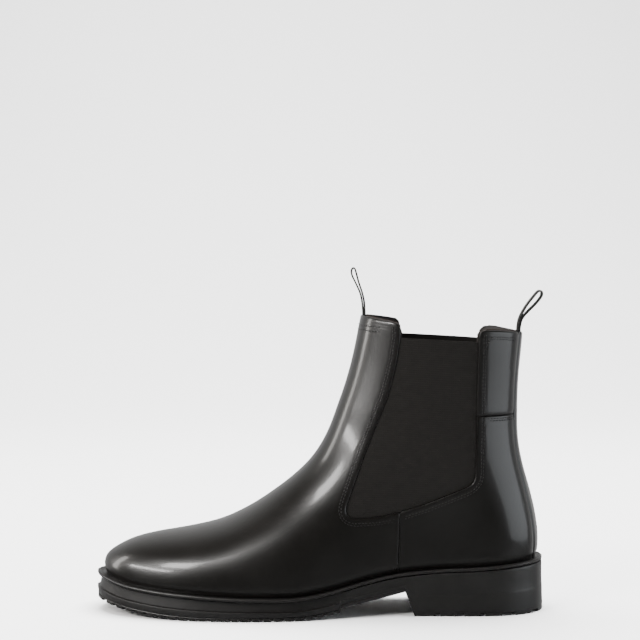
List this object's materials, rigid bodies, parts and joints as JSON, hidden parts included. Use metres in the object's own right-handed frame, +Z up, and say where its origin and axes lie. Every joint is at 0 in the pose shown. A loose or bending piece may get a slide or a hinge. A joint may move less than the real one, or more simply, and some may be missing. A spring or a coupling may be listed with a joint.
{
  "type": "chelsea boot",
  "caption": "Ankle boot for the left foot with an elastic gore in each side, a webbing pull tab at the front and back, and a lugged rubber sole with a heel.",
  "frame": {"origin": "on the floor, under the middle of the sole's length and width", "axes": "+Z up, the toe to -X, the heel to +X, the outer side of this left boot to -Y"},
  "size_m": [0.3014, 0.1085, 0.23],
  "materials": {
    "leather": "smooth black leather, satin gloss",
    "elastic": "ribbed black elastic, matte",
    "lining": "dark brown lining leather, matte",
    "stiffener": "fibreboard stiffener",
    "insole_board": "fibre insole board",
    "cork": "pressed cork",
    "shank_steel": "spring steel strip",
    "nail_steel": "plated steel",
    "rubber": "black rubber, matte",
    "core_foam": "light foam core",
    "webbing": "dark grey woven webbing"
  },
  "bodies": {
    "rearfoot": {"vamp": "leather", "quarter_lateral": "leather", "quarter_medial": "leather", "rear_panel_lateral": "leather", "rear_panel_medial": "leather", "back_strip": "leather", "gore_lateral": "elastic", "gore_medial": "elastic", "vamp_lining": "lining", "quarter_lining_lateral": "lining", "quarter_lining_medial": "lining", "heel_counter": "stiffener", "insole": "insole_board", "sock_liner": "lining", "cork_filler": "cork", "shank": "shank_steel", "welt": "rubber", "outsole": "rubber", "heel_core": "core_foam", "heel_nail_1": "nail_steel", "heel_nail_2": "nail_steel", "heel_nail_3": "nail_steel", "heel_nail_4": "nail_steel", "heel_nail_5": "nail_steel", "rear_tab_anchor": "webbing"},
    "forefoot": {"toe_puff": "stiffener"},
    "shaft_front": {"front_tab_anchor": "webbing"},
    "front_tab": {"front_pull_tab": "webbing"},
    "rear_tab": {"rear_pull_tab": "webbing"}
  },
  "joints": [
    {"name": "ball_flex", "type": "hinge", "parent": "rearfoot", "child": "forefoot", "pos_m": [-0.046, 0, 0.009], "axis": [0, 1, 0], "range_deg": [0, 30], "stiffness_Nm_per_rad": 1.5, "deforming": ["vamp", "vamp_lining", "insole", "sock_liner", "cork_filler", "welt", "outsole"]},
    {"name": "collar_opening", "type": "hinge", "parent": "rearfoot", "child": "shaft_front", "pos_m": [0.019, 0, 0.076], "axis": [0, -1, 0], "range_deg": [0, 12], "stiffness_Nm_per_rad": 2, "deforming": ["gore_lateral", "gore_medial"]},
    {"name": "front_tab_fold", "type": "hinge", "parent": "shaft_front", "child": "front_tab", "pos_m": [0.0295, 0, 0.1993], "axis": [0, -1, 0], "range_deg": [-45, 45]},
    {"name": "rear_tab_fold", "type": "hinge", "parent": "rearfoot", "child": "rear_tab", "pos_m": [0.1338, 0, 0.1881], "axis": [0, 1, 0], "range_deg": [-45, 45]}
  ]
}
